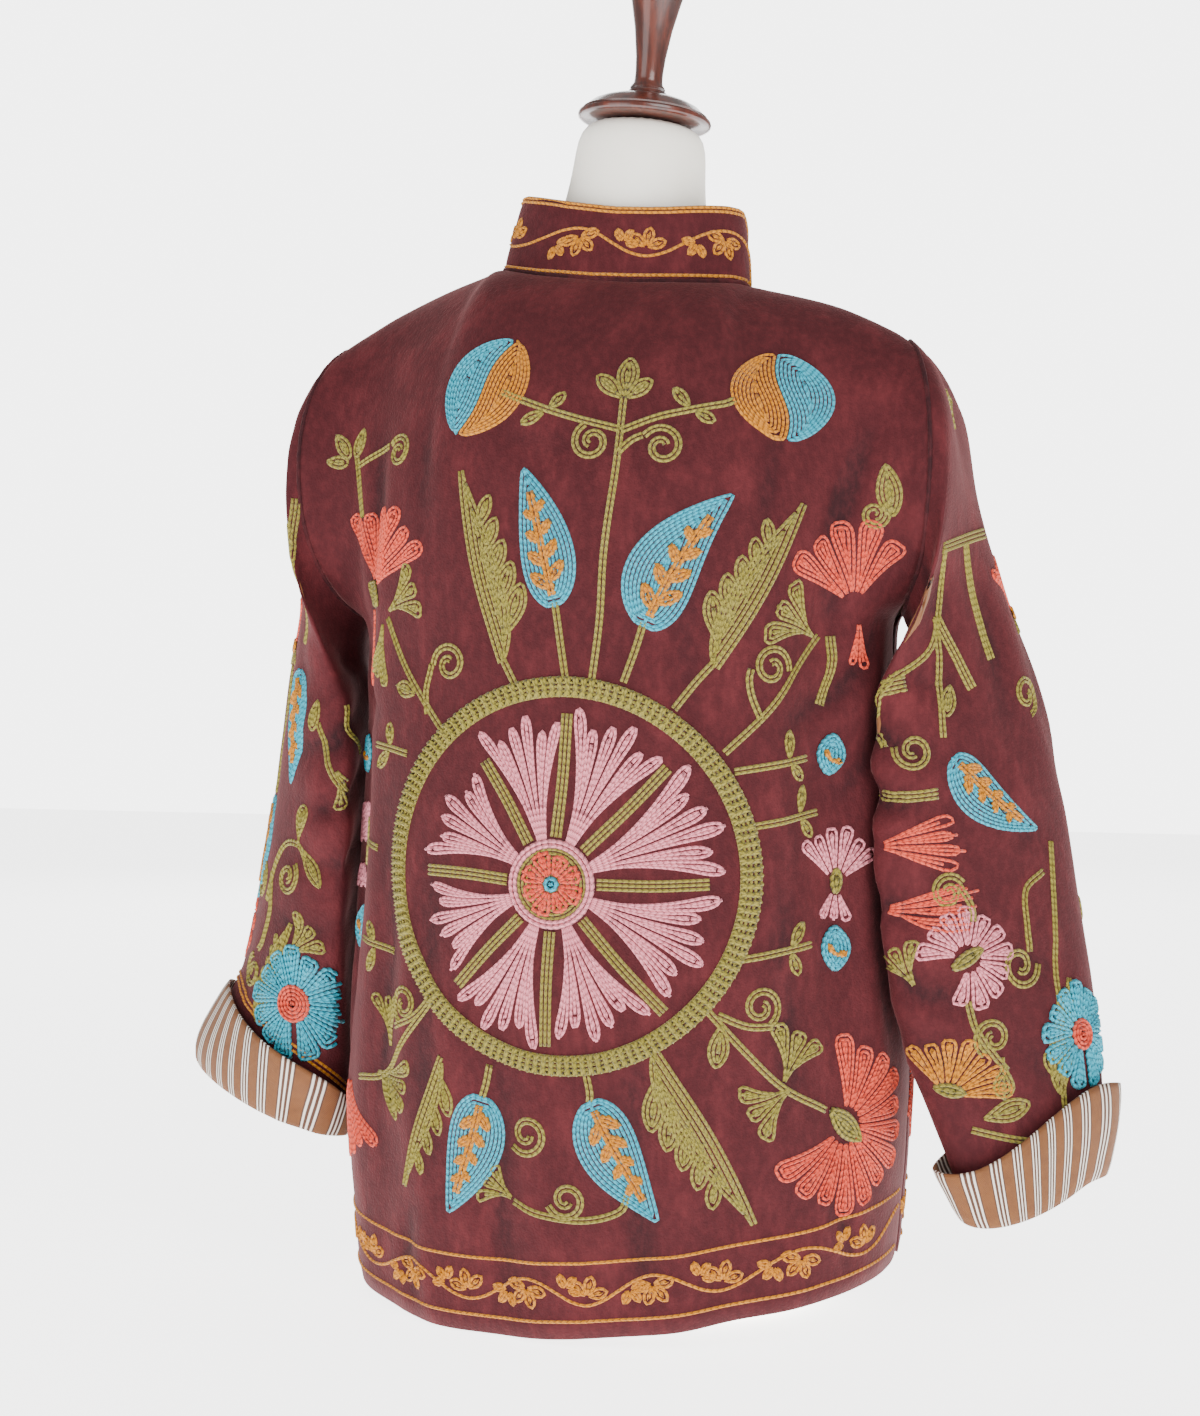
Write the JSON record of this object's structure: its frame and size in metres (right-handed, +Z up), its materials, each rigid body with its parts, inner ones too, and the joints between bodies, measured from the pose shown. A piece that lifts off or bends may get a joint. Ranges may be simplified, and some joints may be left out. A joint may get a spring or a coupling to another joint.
{
  "type": "suzani jacket on a dress form",
  "caption": "Short boxy velvet jacket with stand collar, embroidered motifs and turned-back striped cuffs, worn by a countertop dress form with a turned wooden cap and finial.",
  "frame": {"origin": "centre of the form's flat base", "axes": "+Z up, -Y towards the front opening, +X towards the wearer's left"},
  "size_m": [0.6461, 0.2745, 0.9117],
  "materials": {
    "velvet": "cotton velvet, crushed nap",
    "lining": "striped cotton",
    "jersey": "smooth jersey over a hard shell",
    "wood": "stained and varnished",
    "yarn": "chain-stitched wool yarn"
  },
  "bodies": {
    "root": {"back": "velvet", "front_left": "velvet", "front_right": "velvet", "sleeve_left": "velvet", "sleeve_right": "velvet", "cuff_left": "lining", "cuff_right": "lining", "collar": "velvet", "form_torso": "jersey", "form_cap": "wood", "form_finial": "wood"}
  },
  "joints": []
}
